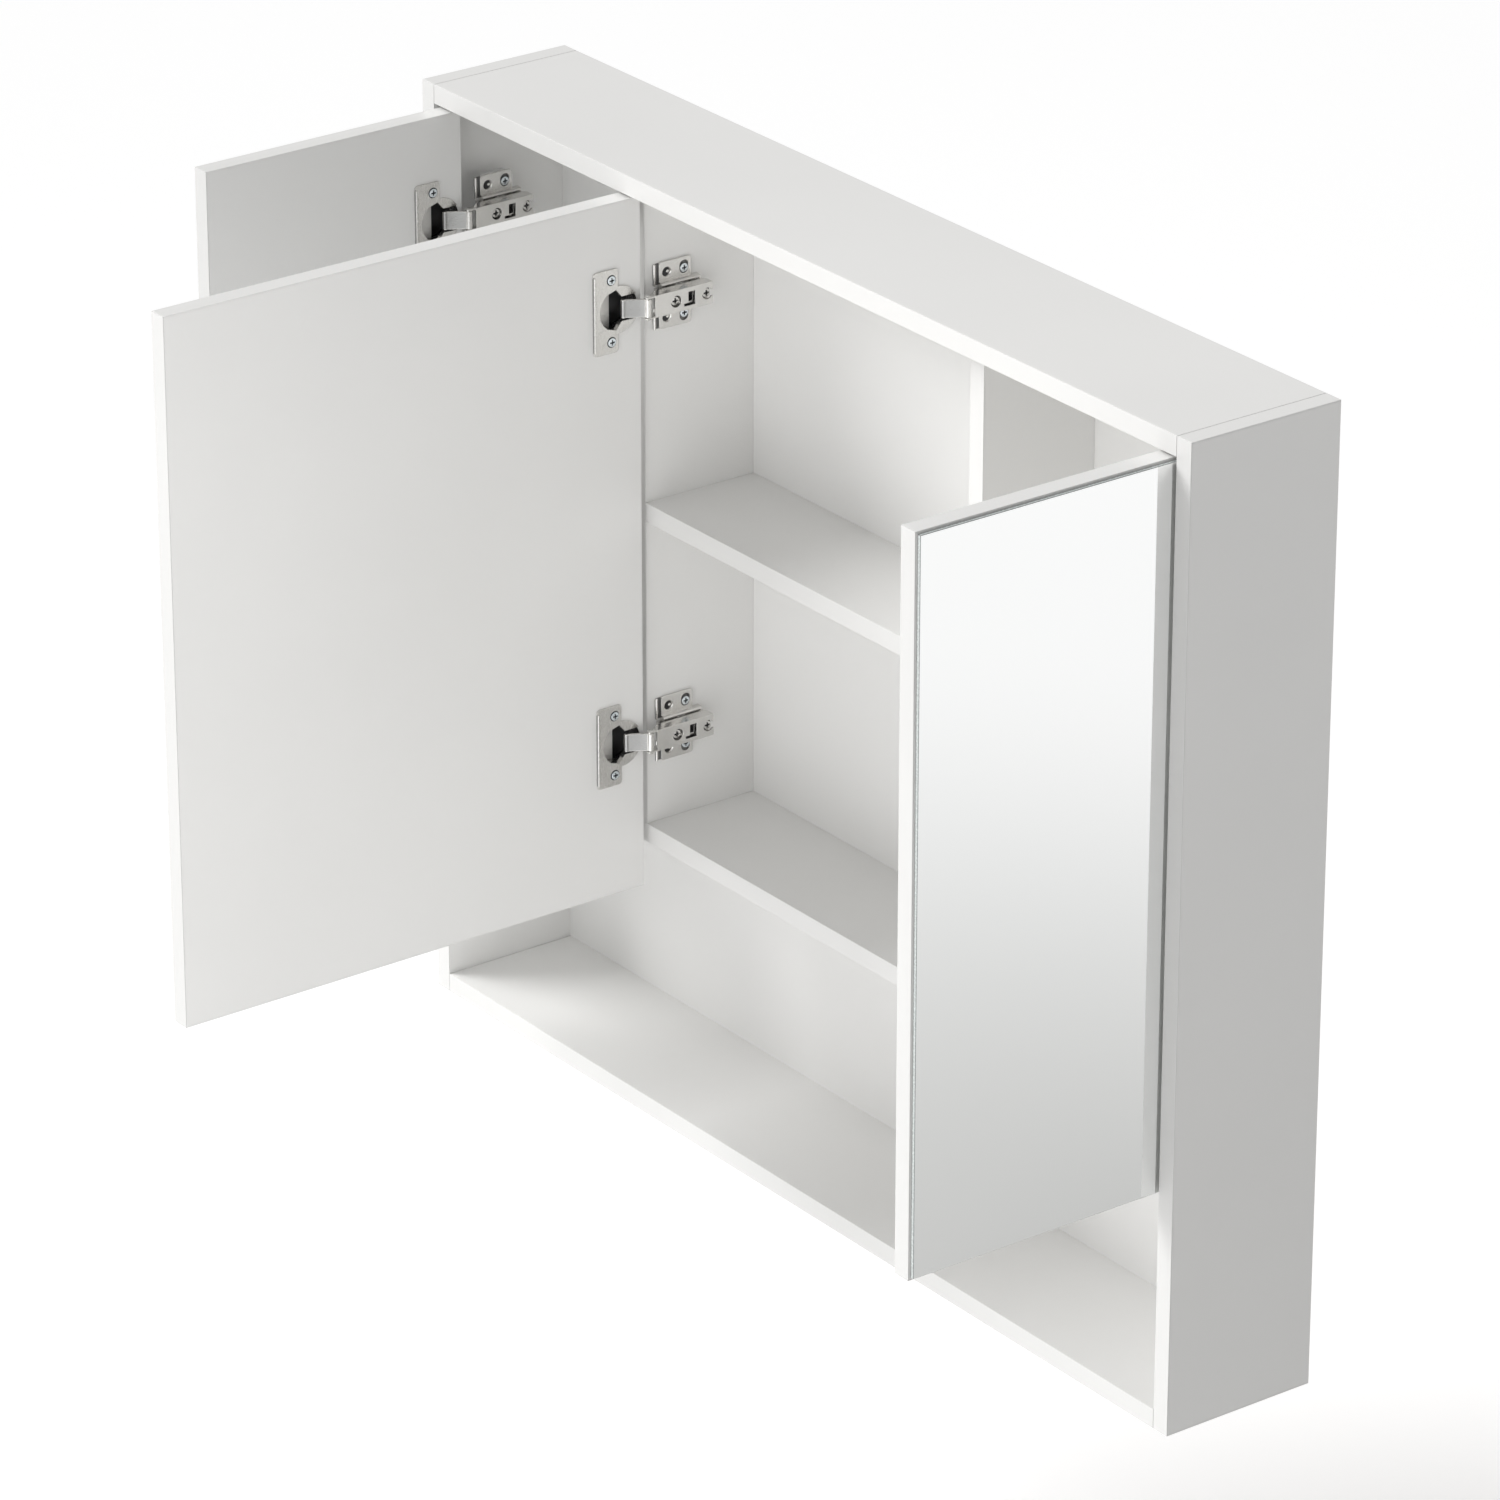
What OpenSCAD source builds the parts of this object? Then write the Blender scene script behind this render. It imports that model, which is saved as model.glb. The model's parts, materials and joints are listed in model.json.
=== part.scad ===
// Wall cabinet with three mirror doors over an open niche. Millimetres, +Z up.
// Origin: midway between the two wall screws, on the wall plane. The front faces -Y.

/* [Cabinet] */
// Width over the side panels
cab_w = 900; // [860:10:1000]
// Height of the side panels
cab_h = 750; // [720:10:850]
// Depth from the wall to the front edges
cab_d = 130; // [128:1:160]
// Thickness of the boards
board = 15; // [15:0.5:16]
// Thickness of the back panel
back_t = 3; // [3:1:5]
// Gap between the back panel and the wall
back_gap = 11; // [10:1:16]

/* [Bays] */
// Clear width of each side bay
side_bay = 228; // [210:1:240]
// Clear height of the open niche
niche_h = 200; // [160:5:220]
// Height of the shelves' undersides
shelf_z = 475; // [420:5:520]
// Setback of the dividers and shelves behind the front edges
setback = 17; // [17:1:20]

/* [Doors] */
// Gap around each door
door_gap = 3; // [3:0.5:4]
// Gap between the doors and the top panel
top_gap = 2; // [2:0.5:4]
// How far the doors hang below the niche's roof, as a finger grip
grip_h = 32; // [20:1:60]
// Thickness of the mirror glass
glass_t = 3; // [3:1:4]
// Bare rim of the door around its mirror
mirror_rim = 2; // [2:0.5:4]

/* [Hinges] */
// Upper hinge's distance below the top panel
hinge_drop = 85; // [70:1:120]
// Lower hinge's distance above the niche's roof
hinge_rise = 75; // [60:1:100]
// Cup's centre from the door's hinge edge
cup_in = 20.5; // [20.5:0.5:22]
// Radius of the hinge cup
cup_r = 17.5; // [17.5:0.5:17.5]
// Height of the cup screws' spacing
cup_screw_gap = 48; // [46:1:52]
// Height of the plate screws' spacing
plate_screw_gap = 35; // [32:1:36]

/* [Wall fixing] */
// Wall screws' distance below the cabinet's top
screw_drop = 45; // [40:1:60]
// Distance between the wall screws
screw_span = 642; // [600:2:680]
// Radius of the wall screw holes
screw_hole_r = 3; // [2.5:0.5:4]

/* [Hidden] */
$fn = 48;
EPS = 1;                        // overrun of a cutter past the face it opens
in_w = cab_w - 2 * board;
x_side = cab_w / 2 - board;     // inner face of a side panel
x_div = x_side - side_bay;      // outer face of a divider
y_front = -cab_d;
y_edge = y_front + setback;     // front edges of dividers and shelves
y_back = -back_gap - back_t;    // front face of the back panel
z_bottom = screw_drop - cab_h;
z_top = screw_drop;
z_niche = z_bottom + board + niche_h;
z_shelf = z_bottom + shelf_z;
z_under = z_top - board;        // underside of the top panel
groove = 5;                     // depth of the back panel's groove
bay_h = z_under - z_niche - board;
mid_bay = in_w - 2 * side_bay - 2 * board;

// Doors: pose at rest is 90 degrees open.
door_z0 = z_niche - grip_h;
door_z1 = z_under - top_gap;
side_door_w = side_bay - door_gap;
mid_door_w = in_w - 2 * side_door_w - 4 * door_gap;
axis_in = 6;                    // swing axis from the door's hinge edge
axis_deep = 4;                  // swing axis behind the cabinet's front plane
swing_x = x_side - door_gap - axis_in;
mid_swing_x = x_div - door_gap - axis_in;
swing_y = y_front + axis_deep;
open_x = board - axis_deep;     // open door's inner face, inward of the axis
open_y = axis_in;               // open door's hinge edge, behind the axis

// Hinges
hinge_z = [z_under - hinge_drop, z_niche + board + hinge_rise];
packer_t = board;               // spacer that brings a side hinge level with the middle one
pivot_h = 16;                   // link pivot above the mounting face
pivot_y = y_front + 9;
link_len = 18;
link_angle = -123;              // link's direction when the door is open
link_half = 7.2;
link_t = 2.4;
pin_r = 1.45;
bush_r = 1.5;
arm_half = 8.6;
arm_wall = 1.2;
arm_top = 18;                   // outer face of the arm above the mounting face
arm_end = y_front + 66;
cup_wall = 1.2;
cup_deep = 12.8;
cup_floor = 0.8;
flange_t = 1.2;
flange_w = 22.5;
flange_h = 65;
flange_round = 3;
lip_h = 3;                      // turned-up lip on the flange's far edge
lip_w = 2;
mouth = [[15.4, 5.2], [9.5, 13.2], [2, 15.5], [-3, 9.5]];  // corners of the mouth's upper half
mouth_slot = 9.5;               // half height of the slot where the link enters
cup_screw_in = 6;               // cup screws beyond the cup's centre
wing_y = [y_front + 24, y_front + 58];
wing_h = 52;
wing_t = 2;
rail_top = 14;
plate_screw_y = y_front + 51.5;
dimple_y = y_front + 36;
adjuster_y = y_front + 33;
lock_y = y_front + 61;
slot_y = [y_front + 44, y_front + 50];
screw_r = 1.75;
head_r = 3.5;
big_head_r = 4.2;
screw_deep = 10;                // length of a wood screw inside a board

// Joints between the boards
cam_r = 7.5;
cam_deep = 12;
cam_in = 24;                    // cam's centre from the panel's end
cam_y = [y_front + 30, y_front + 95];
bolt_r = 3.4;
thread_r = 2.5;
dowel_r = 4;
dowel_in = 10;
dowel_len = 30;
dowel_y = y_front + 62;
divider_dowel_y = [y_edge + 24, y_edge + 75];
rail_dowel_r = 3;
rail_h = 70;
rail_z0 = z_under - rail_h;
rail_dowel_z = [rail_z0 + 15, rail_z0 + rail_h - 15];
shelf_pin_y = [y_edge + 18, y_edge + 81];
pin_shank_r = 2.5;
pin_head_r = 3.5;
pin_len = 8;
touch = 0.02;                   // air between a round pin and the flat board on it
pad_r = 4;
pad_t = 1.6;

white = [0.93, 0.93, 0.92];
steel = [0.78, 0.77, 0.74];
zinc = [0.72, 0.76, 0.80];
birch = [0.80, 0.68, 0.50];

// ---- placing -------------------------------------------------------------

// A straight board between two corners
module slab(low, high) {
    translate(low) cube(high - low);
}

// A rod along +X (or -X when dir is -1) from a point
module rod_x(p, r, len, dir = 1) {
    translate(p) rotate([0, dir * 90, 0]) cylinder(r = r, h = len);
}

module rod_y(p, r, len) {
    translate(p) rotate([-90, 0, 0]) cylinder(r = r, h = len);
}

// Both ends of the cabinet, worked out on its left
module both_ends() {
    for (flip = [0, 1]) mirror([flip, 0, 0]) children();
}

// The three doors' own places, all drawn as the left one
module left_place() { translate([-swing_x, swing_y, 0]) children(); }
module middle_place() { translate([-mid_swing_x, swing_y, 0]) children(); }
module right_place() { mirror([1, 0, 0]) left_place() children(); }

// Door axes: x from the hinge edge to the free edge, y out of the inner face
module door_axes() {
    translate([open_x, open_y, 0]) rotate([0, 0, -90]) children();
}

module at_cups() {
    for (z = hinge_z) door_axes() translate([cup_in, 0, z]) children();
}

// Mounting faces: x out of the face, y towards the wall
module left_mount() {
    for (z = hinge_z) translate([-x_side + packer_t, 0, z]) children();
}

module middle_mount() {
    for (z = hinge_z) translate([-x_div + board, 0, z]) children();
}

module right_mount() {
    mirror([1, 0, 0]) left_mount() children();
}

// ---- carcass -------------------------------------------------------------

// Ends of the boards that the fittings join to the sides
function joint_z() = [z_under + board / 2, z_niche + board / 2, z_bottom + board / 2];

module cam_bolt_at(y, z) {
    rod_x([-x_side, y, z], bolt_r, cam_in - 2);
    rod_x([-x_side, y, z], thread_r, dowel_in, -1);
}

module side_panel() {
    difference() {
        slab([-cab_w / 2, y_front, z_bottom], [-x_side, 0, z_top]);
        slab([-x_side - groove, y_back, z_bottom + board - groove],
            [-x_side + EPS, -back_gap, z_under + groove]);
        for (z = joint_z()) {
            for (y = cam_y) rod_x([-x_side + EPS, y, z], thread_r, dowel_in + EPS, -1);
            rod_x([-x_side + EPS, dowel_y, z], dowel_r, dowel_in + EPS, -1);
        }
        for (z = rail_dowel_z)
            rod_x([-x_side - dowel_in, -back_gap / 2, z], rail_dowel_r, dowel_in + EPS);
        for (y = shelf_pin_y)
            rod_x([-x_side - pin_len, y, z_shelf - pin_head_r - touch], pin_shank_r, pin_len + EPS);
        for (z = hinge_z, s = [-1, 1])
            rod_x([-x_side - screw_deep, plate_screw_y, z + s * plate_screw_gap / 2],
                screw_r, screw_deep + EPS);
    }
}

module left_side_panel() { color(white) side_panel(); }
module right_side_panel() { color(white) mirror([1, 0, 0]) side_panel(); }

// Bores for a cam, its bolt and the dowel at both ends of a level board
module level_board_bores(z_low) {
    both_ends() {
        for (y = cam_y) {
            translate([-x_side + cam_in, y, z_low - EPS]) cylinder(r = cam_r, h = cam_deep + EPS);
            rod_x([-x_side - EPS, y, z_low + board / 2], bolt_r + 0.1, cam_in);
        }
        rod_x([-x_side - EPS, dowel_y, z_low + board / 2], dowel_r, dowel_len - dowel_in + EPS);
    }
}

module divider_dowel_bores(z) {
    both_ends() for (y = divider_dowel_y)
        translate([-x_div + board / 2, y, z]) cylinder(r = dowel_r, h = dowel_in + EPS);
}

module top_panel() {
    color(white) difference() {
        slab([-x_side, y_front, z_under], [x_side, 0, z_top]);
        slab([-x_side - EPS, y_back, z_under - EPS], [x_side + EPS, -back_gap, z_under + groove]);
        level_board_bores(z_under);
        divider_dowel_bores(z_under - EPS);
    }
}

module bottom_panel() {
    color(white) difference() {
        slab([-x_side, y_front, z_bottom], [x_side, 0, z_bottom + board]);
        slab([-x_side - EPS, y_back, z_bottom + board - groove],
            [x_side + EPS, -back_gap, z_bottom + board + EPS]);
        level_board_bores(z_bottom);
    }
}

module niche_roof() {
    color(white) difference() {
        slab([-x_side, y_edge, z_niche], [x_side, y_back, z_niche + board]);
        level_board_bores(z_niche);
        divider_dowel_bores(z_niche + board - dowel_in);
    }
}

module back_panel() {
    color(white) difference() {
        slab([-x_side - groove, y_back, z_bottom + board - groove],
            [x_side + groove, -back_gap, z_under + groove]);
        both_ends() rod_y([-screw_span / 2, y_back - EPS, 0], screw_hole_r, back_t + 2 * EPS);
    }
}

module hanging_rail() {
    color(birch) difference() {
        slab([-x_side, -back_gap, rail_z0], [x_side, 0, z_under]);
        both_ends() {
            rod_y([-screw_span / 2, -back_gap - EPS, 0], screw_hole_r, back_gap + 2 * EPS);
            for (z = rail_dowel_z)
                rod_x([-x_side - EPS, -back_gap / 2, z], rail_dowel_r, dowel_len - dowel_in);
        }
    }
}

module divider() {
    z0 = z_niche + board;
    difference() {
        slab([-x_div, y_edge, z0], [-x_div + board, y_back, z_under]);
        for (y = divider_dowel_y) translate([-x_div + board / 2, y, z0 - EPS]) {
            cylinder(r = dowel_r, h = dowel_len - dowel_in + EPS);
            translate([0, 0, bay_h - dowel_len + dowel_in + EPS])
                cylinder(r = dowel_r, h = dowel_len - dowel_in + EPS);
        }
        for (y = divider_dowel_y)
            rod_x([-x_div + board - dowel_in, y, z_shelf + board / 2], dowel_r, dowel_in + EPS);
        for (y = shelf_pin_y)
            rod_x([-x_div - EPS, y, z_shelf - pin_head_r - touch], pin_shank_r, pin_len + EPS);
    }
}

module left_divider() {
    color(white) difference() {
        divider();
        for (z = hinge_z, s = [-1, 1])
            rod_x([-x_div + board - screw_deep, plate_screw_y, z + s * plate_screw_gap / 2],
                screw_r, screw_deep + EPS);
    }
}

module right_divider() { color(white) mirror([1, 0, 0]) divider(); }

module side_shelf() {
    slip = 0.5;
    slab([-x_side + slip, y_edge, z_shelf], [-x_div - slip, y_back - slip, z_shelf + board]);
}

module left_shelf() { color(white) side_shelf(); }
module right_shelf() { color(white) mirror([1, 0, 0]) side_shelf(); }

module middle_shelf() {
    color(white) difference() {
        slab([-mid_bay / 2, y_edge, z_shelf], [mid_bay / 2, y_back, z_shelf + board]);
        both_ends() for (y = divider_dowel_y)
            rod_x([-mid_bay / 2 - EPS, y, z_shelf + board / 2], dowel_r, dowel_len - dowel_in + EPS);
    }
}

// ---- fittings ------------------------------------------------------------

module cam_locks() {
    slot_w = 1.6;
    color(steel) both_ends() for (z = joint_z(), y = cam_y)
        difference() {
            translate([-x_side + cam_in, y, z - board / 2])
                cylinder(r = cam_r, h = cam_deep);
            rod_x([-x_side + cam_in - cam_r - EPS, y, z], bolt_r + 0.2, cam_r);
            translate([-x_side + cam_in - 5, y - slot_w / 2, z - board / 2 - EPS])
                cube([10, slot_w, 1.5 + EPS]);
            translate([-x_side + cam_in - slot_w / 2, y - 5, z - board / 2 - EPS])
                cube([slot_w, 10, 1.5 + EPS]);
        }
}

module cam_bolts() {
    color(zinc) both_ends() for (z = joint_z(), y = cam_y) cam_bolt_at(y, z);
}

module dowels() {
    color(birch) both_ends() {
        for (z = joint_z()) rod_x([-x_side - dowel_in, dowel_y, z], dowel_r, dowel_len);
        for (z = rail_dowel_z)
            rod_x([-x_side - dowel_in, -back_gap / 2, z], rail_dowel_r, dowel_len - 3);
        for (y = divider_dowel_y) {
            translate([-x_div + board / 2, y, z_niche + board - dowel_in])
                cylinder(r = dowel_r, h = dowel_len);
            translate([-x_div + board / 2, y, z_under + dowel_in - dowel_len])
                cylinder(r = dowel_r, h = dowel_len);
            rod_x([-x_div + board - dowel_in, y, z_shelf + board / 2], dowel_r, dowel_len);
        }
    }
}

module shelf_pins() {
    z = z_shelf - pin_head_r - touch;
    color(zinc) both_ends() for (y = shelf_pin_y) {
        rod_x([-x_side - pin_len, y, z], pin_shank_r, pin_len);
        rod_x([-x_side, y, z], pin_head_r, pin_len);
        rod_x([-x_div, y, z], pin_shank_r, pin_len);
        rod_x([-x_div - pin_len, y, z], pin_head_r, pin_len);
    }
}

// Soft pads that the closed doors meet
module door_bumpers() {
    pad_x = x_div + 28;
    color("white") {
        both_ends() for (z = [z_niche, z_shelf])
            rod_y([-pad_x, y_edge - pad_t, z + board / 2], pad_r, pad_t);
        for (z = [z_shelf - 170, z_shelf + 90])
            rod_y([x_div - board / 2 - 2, y_edge - pad_t, z], pad_r, pad_t);
    }
}

// ---- doors ---------------------------------------------------------------

module door_panel(w) {
    difference() {
        door_axes() slab([0, -board, door_z0], [w, 0, door_z1]);
        at_cups() {
            rotate([90, 0, 0]) cylinder(r = cup_r, h = cup_deep);
            for (s = [-1, 1]) translate([cup_screw_in, 0, s * cup_screw_gap / 2])
                rotate([90, 0, 0]) cylinder(r = screw_r, h = screw_deep);
        }
    }
}

module left_door_panel() { color(white) left_place() door_panel(side_door_w); }
module middle_door_panel() { color(white) middle_place() door_panel(mid_door_w); }
module right_door_panel() { color(white) right_place() door_panel(side_door_w); }

module mirror_pane(w) {
    door_axes() slab([mirror_rim, -board - glass_t, door_z0 + mirror_rim],
        [w - mirror_rim, -board, door_z1 - mirror_rim]);
}

module left_mirror() { color("lightsteelblue") left_place() mirror_pane(side_door_w); }
module middle_mirror() { color("lightsteelblue") middle_place() mirror_pane(mid_door_w); }
module right_mirror() { color("lightsteelblue") right_place() mirror_pane(side_door_w); }

// ---- hinges: parts that move with the door ---------------------------------

module rounded_plate(w, h, r) {
    translate([0, -h / 2 + r]) square([w, h - 2 * r]);
    translate([r, -h / 2]) square([w - 2 * r, h]);
    for (x = [r, w - r], y = [-h / 2 + r, h / 2 - r]) translate([x, y]) circle(r = r);
}

// Angular mouth with a slot to the door's edge for the link
module cup_mouth() {
    for (flip = [0, 1]) mirror([0, flip]) polygon(concat([[mouth[0].x, -EPS]], mouth, [[-3, -EPS]]));
    translate([-cup_r - 2, -mouth_slot]) square([cup_r, 2 * mouth_slot]);
}

// Outlines are drawn face on and stood up against the door
module on_face() {
    rotate([90, 0, 0]) children();
}

module hinge_cup() {
    on_face() difference() {
        cylinder(r = cup_r, h = cup_deep);
        translate([0, 0, -EPS]) cylinder(r = cup_r - cup_wall, h = cup_deep - cup_floor + EPS);
    }
    on_face() translate([0, 0, -flange_t]) linear_extrude(flange_t) difference() {
        union() {
            circle(r = cup_r + 1);
            rounded_plate(flange_w, flange_h, flange_round);
        }
        cup_mouth();
        for (s = [-1, 1]) translate([cup_screw_in, s * cup_screw_gap / 2])
            circle(r = screw_r + 0.1);
    }
    on_face() translate([flange_w - lip_w, -flange_h / 2 + flange_round, -lip_h])
        cube([lip_w, flange_h - 2 * flange_round, lip_h]);
}

module left_hinge_cups() { color(steel) left_place() at_cups() hinge_cup(); }
module middle_hinge_cups() { color(steel) middle_place() at_cups() hinge_cup(); }
module right_hinge_cups() { color(steel) right_place() at_cups() hinge_cup(); }

module cup_screw_pair() {
    for (s = [-1, 1]) translate([cup_screw_in, 0, s * cup_screw_gap / 2]) on_face() {
        cylinder(r = screw_r, h = screw_deep);
        translate([0, 0, -flange_t]) cylinder(r = screw_r, h = flange_t);
        translate([0, 0, -flange_t - 1]) difference() {
            cylinder(r = head_r, h = 1);
            cross_slot(0.5);
        }
    }
}

// Cross recess of a screw, cut from the end at z = 0
module cross_slot(deep) {
    for (turn = [0, 90]) rotate(turn)
        translate([-head_r * 0.55, -head_r * 0.14, -EPS])
            cube([head_r * 1.1, head_r * 0.28, deep + EPS]);
}

module left_cup_screws() { color(zinc) left_place() at_cups() cup_screw_pair(); }
module middle_cup_screws() { color(zinc) middle_place() at_cups() cup_screw_pair(); }
module right_cup_screws() { color(zinc) right_place() at_cups() cup_screw_pair(); }

// ---- hinges: links ---------------------------------------------------------

module at_pivot() {
    translate([pivot_h, pivot_y, 0]) children();
}

module hinge_link() {
    at_pivot() translate([0, 0, -link_half]) linear_extrude(2 * link_half) difference() {
        rotate(link_angle) {
            circle(r = 2.6);
            translate([0, -link_t / 2]) square([link_len, link_t]);
            translate([link_len, 0]) circle(r = 2);
        }
        circle(r = bush_r);
    }
}

module left_hinge_links() { color(steel) left_mount() hinge_link(); }
module middle_hinge_links() { color(steel) middle_mount() hinge_link(); }
module right_hinge_links() { color(steel) right_mount() hinge_link(); }

// ---- hinges: parts that stay on the cabinet --------------------------------

module link_pin() {
    cap_t = 0.8;
    reach = arm_half + cap_t;
    at_pivot() {
        translate([0, 0, -reach]) cylinder(r = pin_r, h = 2 * reach);
        for (s = [0, 1]) mirror([0, 0, s]) translate([0, 0, arm_half]) cylinder(r = 2.2, h = cap_t);
    }
}

module left_link_pins() { color(zinc) left_mount() link_pin(); }
module middle_link_pins() { color(zinc) middle_mount() link_pin(); }
module right_link_pins() { color(zinc) right_mount() link_pin(); }

// Inverted channel with two ears that hold the link's pin
module hinge_arm() {
    ear_r = 3;
    web_y = pivot_y + 5;
    web_t = 1.5;
    skirt = 8;
    difference() {
        union() {
            for (s = [0, 1]) mirror([0, 0, s]) translate([0, 0, arm_half - arm_wall])
                linear_extrude(arm_wall) {
                    translate([pivot_h, pivot_y]) circle(r = ear_r);
                    polygon([[pivot_h + 2, pivot_y - 2.23], [arm_top, web_y], [arm_top, arm_end],
                        [skirt, arm_end], [skirt, web_y + 8], [pivot_h - 2.5, pivot_y + 1.6]]);
                }
            slab([arm_top - web_t, web_y, -arm_half], [arm_top, arm_end, arm_half]);
        }
        at_pivot() translate([0, 0, -arm_half - EPS])
            cylinder(r = bush_r, h = 2 * (arm_half + EPS));
        rod_x([rail_top, adjuster_y, 0], big_head_r + 0.3, arm_top);
        rod_x([rail_top, lock_y, 0], big_head_r + 0.3, arm_top);
        slab([arm_top - 3, lock_y, -2.5], [arm_top + EPS, arm_end + EPS, 2.5]);
        slab([arm_top - 3, slot_y[0], -4], [arm_top + EPS, slot_y[1], 5]);
        slab([arm_top - 3, slot_y[0] - 4, -5.5], [arm_top + EPS, slot_y[1], -3.5]);
    }
}

module left_hinge_arms() { color(steel) left_mount() hinge_arm(); }
module middle_hinge_arms() { color(steel) middle_mount() hinge_arm(); }
module right_hinge_arms() { color(steel) right_mount() hinge_arm(); }

// Depth adjuster and lock screw that hold the arm on its plate
module arm_screw_pair() {
    head_t = 3.4;
    for (y = [adjuster_y, lock_y]) {
        rod_x([rail_top - 5, y, 0], 2, 5);
        difference() {
            rod_x([rail_top, y, 0], big_head_r, head_t);
            translate([rail_top + head_t, y, 0]) rotate([0, -90, 0]) cross_slot(1.2);
        }
    }
}

module left_arm_screws() { color(steel) left_mount() arm_screw_pair(); }
module middle_arm_screws() { color(steel) middle_mount() arm_screw_pair(); }
module right_arm_screws() { color(steel) right_mount() arm_screw_pair(); }

module mounting_plate() {
    shoulder = 6;
    shoulder_half = 11;
    rail_y = [y_front + 25, y_front + 66];
    rail_half = arm_half - arm_wall - 0.2;
    difference() {
        union() {
            translate([0, wing_y[0], 0]) rotate([90, 0, 90])
                linear_extrude(wing_t) rounded_plate(wing_y[1] - wing_y[0], wing_h, 2.5);
            slab([0, wing_y[0], -shoulder_half], [shoulder, rail_y[1] - 2, shoulder_half]);
            slab([0, rail_y[0], -rail_half], [rail_top, rail_y[1], rail_half]);
        }
        for (s = [-1, 1]) {
            rod_x([-EPS, plate_screw_y, s * plate_screw_gap / 2], screw_r + 0.1, wing_t + 2 * EPS);
            rod_x([0.6, dimple_y, s * plate_screw_gap / 2], head_r, wing_t);
        }
        for (y = [adjuster_y, lock_y]) rod_x([rail_top - 5, y, 0], 2, 5 + EPS);
        slab([rail_top - 6, slot_y[0], -4], [rail_top + EPS, slot_y[1], 5]);
    }
}

module left_mounting_plates() { color(steel) left_mount() mounting_plate(); }
module middle_mounting_plates() { color(steel) middle_mount() mounting_plate(); }
module right_mounting_plates() { color(steel) right_mount() mounting_plate(); }

module plate_screw_pair(through) {
    head_t = 1.4;
    for (s = [-1, 1]) translate([0, plate_screw_y, s * plate_screw_gap / 2]) {
        rod_x([-through - screw_deep, 0, 0], screw_r, through + screw_deep + wing_t);
        difference() {
            rod_x([wing_t, 0, 0], head_r, head_t);
            translate([wing_t + head_t, 0, 0]) rotate([0, -90, 0]) cross_slot(0.9);
        }
    }
}

module left_plate_screws() { color(zinc) left_mount() plate_screw_pair(packer_t); }
module middle_plate_screws() { color(zinc) middle_mount() plate_screw_pair(0); }
module right_plate_screws() { color(zinc) right_mount() plate_screw_pair(packer_t); }

// Spacer blocks behind the side doors' mounting plates
module hinge_packer() {
    half_h = plate_screw_gap / 2 + 3.5;
    difference() {
        slab([-packer_t, plate_screw_y - 11, -half_h], [0, plate_screw_y + 9, half_h]);
        for (s = [-1, 1])
            rod_x([-packer_t - EPS, plate_screw_y, s * plate_screw_gap / 2],
                screw_r, packer_t + 2 * EPS);
    }
}

module left_hinge_packers() { color("white") left_mount() hinge_packer(); }
module right_hinge_packers() { color("white") right_mount() hinge_packer(); }

// ---- drawing -----------------------------------------------------------------

left_side_panel();
right_side_panel();
top_panel();
bottom_panel();
back_panel();
hanging_rail();
niche_roof();
left_divider();
right_divider();
left_shelf();
middle_shelf();
right_shelf();
cam_locks();
cam_bolts();
dowels();
shelf_pins();
door_bumpers();
left_door_panel();
middle_door_panel();
right_door_panel();
left_mirror();
middle_mirror();
right_mirror();
left_hinge_cups();
middle_hinge_cups();
right_hinge_cups();
left_cup_screws();
middle_cup_screws();
right_cup_screws();
left_hinge_links();
middle_hinge_links();
right_hinge_links();
left_link_pins();
middle_link_pins();
right_link_pins();
left_hinge_arms();
middle_hinge_arms();
right_hinge_arms();
left_arm_screws();
middle_arm_screws();
right_arm_screws();
left_mounting_plates();
middle_mounting_plates();
right_mounting_plates();
left_plate_screws();
middle_plate_screws();
right_plate_screws();
left_hinge_packers();
right_hinge_packers();
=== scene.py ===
"""Wall cabinet with three mirror doors on cup hinges: its looks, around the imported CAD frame."""
import json
import math

import bmesh
import bpy
from mathutils import Matrix, Vector


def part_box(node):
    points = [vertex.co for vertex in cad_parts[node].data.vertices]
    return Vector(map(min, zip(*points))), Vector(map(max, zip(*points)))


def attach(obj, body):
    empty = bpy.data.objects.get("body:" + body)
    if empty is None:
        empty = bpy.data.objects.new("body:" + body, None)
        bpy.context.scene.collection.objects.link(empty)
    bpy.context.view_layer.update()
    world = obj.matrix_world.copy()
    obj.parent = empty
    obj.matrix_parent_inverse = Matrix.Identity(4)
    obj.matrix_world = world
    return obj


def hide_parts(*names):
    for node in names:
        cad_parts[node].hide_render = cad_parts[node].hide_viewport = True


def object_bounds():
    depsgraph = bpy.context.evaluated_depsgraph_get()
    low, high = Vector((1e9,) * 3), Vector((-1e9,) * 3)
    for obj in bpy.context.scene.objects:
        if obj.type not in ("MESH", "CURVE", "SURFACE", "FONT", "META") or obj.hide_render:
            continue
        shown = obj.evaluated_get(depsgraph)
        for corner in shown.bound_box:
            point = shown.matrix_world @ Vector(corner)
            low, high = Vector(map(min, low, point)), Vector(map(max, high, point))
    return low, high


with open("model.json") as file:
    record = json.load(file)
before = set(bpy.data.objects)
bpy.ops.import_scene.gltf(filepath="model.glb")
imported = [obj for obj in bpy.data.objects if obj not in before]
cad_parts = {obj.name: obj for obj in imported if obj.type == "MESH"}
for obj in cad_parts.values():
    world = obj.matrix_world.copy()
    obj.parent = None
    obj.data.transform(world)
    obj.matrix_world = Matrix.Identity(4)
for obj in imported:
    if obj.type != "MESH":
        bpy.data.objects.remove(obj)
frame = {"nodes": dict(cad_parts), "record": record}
cad_low, cad_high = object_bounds()

MM = 0.001
DOORS = ("left", "middle", "right")

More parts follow.
